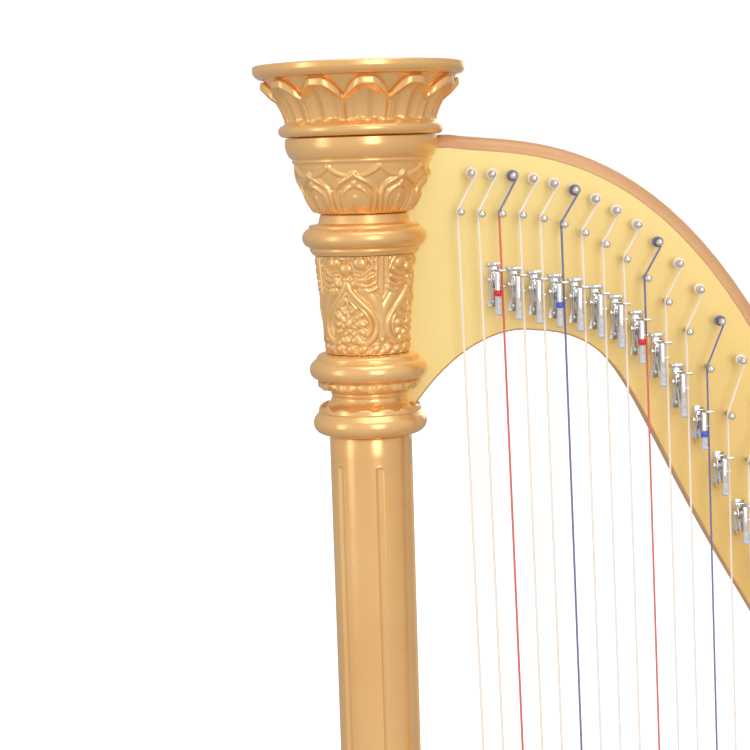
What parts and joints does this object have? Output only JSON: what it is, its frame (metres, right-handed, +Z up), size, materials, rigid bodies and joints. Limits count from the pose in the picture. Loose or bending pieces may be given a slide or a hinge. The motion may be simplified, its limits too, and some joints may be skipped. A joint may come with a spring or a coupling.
{
  "type": "lever harp",
  "caption": "Tall gold lever harp with carved fluted pillar, curved neck with tuning pins and sharping levers, strings, tapered soundbox and footed base.",
  "frame": {"origin": "on the floor plane, under the middle of the harp's length, in the plane of the strings", "axes": "+Z up, +X from the pillar towards the player, -Y towards the side that carries the levers and strings"},
  "size_m": [0.7802, 0.407, 1.56],
  "materials": {
    "gold_lacquer": "satin gold lacquer over carved wood",
    "pale_gold_lacquer": "pale gold lacquer over laminated wood",
    "soundboard_lacquer": "clear satin lacquer over spruce",
    "spruce": "bare planed wood",
    "steel": "plated",
    "chrome": "polished",
    "clear_string": "translucent nylon and gut",
    "red_string": "dyed nylon",
    "blue_string": "dyed nylon and silk",
    "lever_sleeve": "translucent grey plastic",
    "rubber": "matt"
  },
  "bodies": {
    "harp": {"crown": "gold_lacquer", "capital_bowl": "gold_lacquer", "upper_collar": "gold_lacquer", "carved_drum": "gold_lacquer", "lower_collar": "gold_lacquer", "pillar_shaft": "gold_lacquer", "pillar_foot": "gold_lacquer", "crown_dowel": "spruce", "pillar_bolt": "steel", "neck": "pale_gold_lacquer", "strings_on_rib": "clear_string", "soundboard": "soundboard_lacquer", "inner_string_bar": "spruce", "soundbox_shell": "gold_lacquer", "soundbox_cap": "gold_lacquer", "brace_lower": "spruce", "brace_middle": "spruce", "brace_upper": "spruce", "base_block": "gold_lacquer", "base_plinth": "gold_lacquer", "foot_front_left": "rubber", "foot_front_right": "rubber", "foot_rear_left": "rubber", "foot_rear_right": "rubber"},
    "lever_01_body": {"lever_01": "chrome"},
    "lever_02_body": {"lever_02": "chrome"},
    "lever_03_body": {"lever_03": "chrome"},
    "lever_04_body": {"lever_04": "chrome"},
    "lever_05_body": {"lever_05": "chrome"},
    "lever_06_body": {"lever_06": "chrome"},
    "lever_07_body": {"lever_07": "chrome"},
    "lever_08_body": {"lever_08": "chrome"},
    "lever_09_body": {"lever_09": "chrome"},
    "lever_10_body": {"lever_10": "chrome"},
    "lever_11_body": {"lever_11": "chrome"},
    "lever_12_body": {"lever_12": "chrome"},
    "lever_13_body": {"lever_13": "chrome"},
    "lever_14_body": {"lever_14": "chrome"},
    "lever_15_body": {"lever_15": "chrome"},
    "lever_16_body": {"lever_16": "chrome"},
    "lever_17_body": {"lever_17": "chrome"},
    "lever_18_body": {"lever_18": "chrome"},
    "lever_19_body": {"lever_19": "chrome"},
    "lever_20_body": {"lever_20": "chrome"},
    "lever_21_body": {"lever_21": "chrome"},
    "lever_22_body": {"lever_22": "chrome"},
    "lever_23_body": {"lever_23": "chrome"},
    "lever_24_body": {"lever_24": "chrome"},
    "lever_25_body": {"lever_25": "chrome"},
    "lever_26_body": {"lever_26": "chrome"},
    "lever_27_body": {"lever_27": "chrome"},
    "lever_28_body": {"lever_28": "chrome"},
    "lever_29_body": {"lever_29": "chrome"},
    "lever_30_body": {"lever_30": "chrome"},
    "lever_31_body": {"lever_31": "chrome"},
    "lever_32_body": {"lever_32": "chrome"},
    "lever_33_body": {"lever_33": "chrome"},
    "lever_34_body": {"lever_34": "chrome"}
  },
  "joints": [
    {"name": "lever_01_turn", "type": "hinge", "parent": "harp", "child": "lever_01_body", "pos_m": [-0.20654, 0.007, 1.40655], "axis": [-1, 0, 0], "range_deg": [0, 85]},
    {"name": "lever_02_turn", "type": "hinge", "parent": "harp", "child": "lever_02_body", "pos_m": [-0.19215, 0.007, 1.40295], "axis": [-1, 0, 0], "range_deg": [0, 85]},
    {"name": "lever_03_turn", "type": "hinge", "parent": "harp", "child": "lever_03_body", "pos_m": [-0.17779, 0.007, 1.39993], "axis": [-1, 0, 0], "range_deg": [0, 85]},
    {"name": "lever_04_turn", "type": "hinge", "parent": "harp", "child": "lever_04_body", "pos_m": [-0.16347, 0.007, 1.39702], "axis": [-1, 0, 0], "range_deg": [0, 85]},
    {"name": "lever_05_turn", "type": "hinge", "parent": "harp", "child": "lever_05_body", "pos_m": [-0.14918, 0.007, 1.39353], "axis": [-1, 0, 0], "range_deg": [0, 85]},
    {"name": "lever_06_turn", "type": "hinge", "parent": "harp", "child": "lever_06_body", "pos_m": [-0.13489, 0.007, 1.38851], "axis": [-1, 0, 0], "range_deg": [0, 85]},
    {"name": "lever_07_turn", "type": "hinge", "parent": "harp", "child": "lever_07_body", "pos_m": [-0.1206, 0.007, 1.38081], "axis": [-1, 0, 0], "range_deg": [0, 85]},
    {"name": "lever_08_turn", "type": "hinge", "parent": "harp", "child": "lever_08_body", "pos_m": [-0.10629, 0.007, 1.36922], "axis": [-1, 0, 0], "range_deg": [0, 85]},
    {"name": "lever_09_turn", "type": "hinge", "parent": "harp", "child": "lever_09_body", "pos_m": [-0.09194, 0.007, 1.35269], "axis": [-1, 0, 0], "range_deg": [0, 85]},
    {"name": "lever_10_turn", "type": "hinge", "parent": "harp", "child": "lever_10_body", "pos_m": [-0.07757, 0.007, 1.33058], "axis": [-1, 0, 0], "range_deg": [0, 85]},
    {"name": "lever_11_turn", "type": "hinge", "parent": "harp", "child": "lever_11_body", "pos_m": [-0.0632, 0.007, 1.30271], "axis": [-1, 0, 0], "range_deg": [0, 85]},
    {"name": "lever_12_turn", "type": "hinge", "parent": "harp", "child": "lever_12_body", "pos_m": [-0.04885, 0.007, 1.26938], "axis": [-1, 0, 0], "range_deg": [0, 85]},
    {"name": "lever_13_turn", "type": "hinge", "parent": "harp", "child": "lever_13_body", "pos_m": [-0.03447, 0.007, 1.23402], "axis": [-1, 0, 0], "range_deg": [0, 85]},
    {"name": "lever_14_turn", "type": "hinge", "parent": "harp", "child": "lever_14_body", "pos_m": [-0.02011, 0.007, 1.20102], "axis": [-1, 0, 0], "range_deg": [0, 85]},
    {"name": "lever_15_turn", "type": "hinge", "parent": "harp", "child": "lever_15_body", "pos_m": [-0.00576, 0.007, 1.17147], "axis": [-1, 0, 0], "range_deg": [0, 85]},
    {"name": "lever_16_turn", "type": "hinge", "parent": "harp", "child": "lever_16_body", "pos_m": [0.00857, 0.007, 1.14534], "axis": [-1, 0, 0], "range_deg": [0, 85]},
    {"name": "lever_17_turn", "type": "hinge", "parent": "harp", "child": "lever_17_body", "pos_m": [0.02289, 0.007, 1.12233], "axis": [-1, 0, 0], "range_deg": [0, 85]},
    {"name": "lever_18_turn", "type": "hinge", "parent": "harp", "child": "lever_18_body", "pos_m": [0.03722, 0.007, 1.10208], "axis": [-1, 0, 0], "range_deg": [0, 85]},
    {"name": "lever_19_turn", "type": "hinge", "parent": "harp", "child": "lever_19_body", "pos_m": [0.05154, 0.007, 1.08429], "axis": [-1, 0, 0], "range_deg": [0, 85]},
    {"name": "lever_20_turn", "type": "hinge", "parent": "harp", "child": "lever_20_body", "pos_m": [0.06587, 0.007, 1.06869], "axis": [-1, 0, 0], "range_deg": [0, 85]},
    {"name": "lever_21_turn", "type": "hinge", "parent": "harp", "child": "lever_21_body", "pos_m": [0.0802, 0.007, 1.05503], "axis": [-1, 0, 0], "range_deg": [0, 85]},
    {"name": "lever_22_turn", "type": "hinge", "parent": "harp", "child": "lever_22_body", "pos_m": [0.09454, 0.007, 1.04314], "axis": [-1, 0, 0], "range_deg": [0, 85]},
    {"name": "lever_23_turn", "type": "hinge", "parent": "harp", "child": "lever_23_body", "pos_m": [0.10888, 0.007, 1.03284], "axis": [-1, 0, 0], "range_deg": [0, 85]},
    {"name": "lever_24_turn", "type": "hinge", "parent": "harp", "child": "lever_24_body", "pos_m": [0.12322, 0.007, 1.02398], "axis": [-1, 0, 0], "range_deg": [0, 85]},
    {"name": "lever_25_turn", "type": "hinge", "parent": "harp", "child": "lever_25_body", "pos_m": [0.13757, 0.007, 1.01645], "axis": [-1, 0, 0], "range_deg": [0, 85]},
    {"name": "lever_26_turn", "type": "hinge", "parent": "harp", "child": "lever_26_body", "pos_m": [0.15192, 0.007, 1.01013], "axis": [-1, 0, 0], "range_deg": [0, 85]},
    {"name": "lever_27_turn", "type": "hinge", "parent": "harp", "child": "lever_27_body", "pos_m": [0.16628, 0.007, 1.00494], "axis": [-1, 0, 0], "range_deg": [0, 85]},
    {"name": "lever_28_turn", "type": "hinge", "parent": "harp", "child": "lever_28_body", "pos_m": [0.18064, 0.007, 1.00078], "axis": [-1, 0, 0], "range_deg": [0, 85]},
    {"name": "lever_29_turn", "type": "hinge", "parent": "harp", "child": "lever_29_body", "pos_m": [0.195, 0.007, 0.9976], "axis": [-1, 0, 0], "range_deg": [0, 85]},
    {"name": "lever_30_turn", "type": "hinge", "parent": "harp", "child": "lever_30_body", "pos_m": [0.20936, 0.007, 0.99532], "axis": [-1, 0, 0], "range_deg": [0, 85]},
    {"name": "lever_31_turn", "type": "hinge", "parent": "harp", "child": "lever_31_body", "pos_m": [0.22372, 0.007, 0.99388], "axis": [-1, 0, 0], "range_deg": [0, 85]},
    {"name": "lever_32_turn", "type": "hinge", "parent": "harp", "child": "lever_32_body", "pos_m": [0.23809, 0.007, 0.99325], "axis": [-1, 0, 0], "range_deg": [0, 85]},
    {"name": "lever_33_turn", "type": "hinge", "parent": "harp", "child": "lever_33_body", "pos_m": [0.25246, 0.007, 0.99358], "axis": [-1, 0, 0], "range_deg": [0, 85]},
    {"name": "lever_34_turn", "type": "hinge", "parent": "harp", "child": "lever_34_body", "pos_m": [0.26682, 0.007, 0.99563], "axis": [-1, 0, 0], "range_deg": [0, 85]}
  ]
}
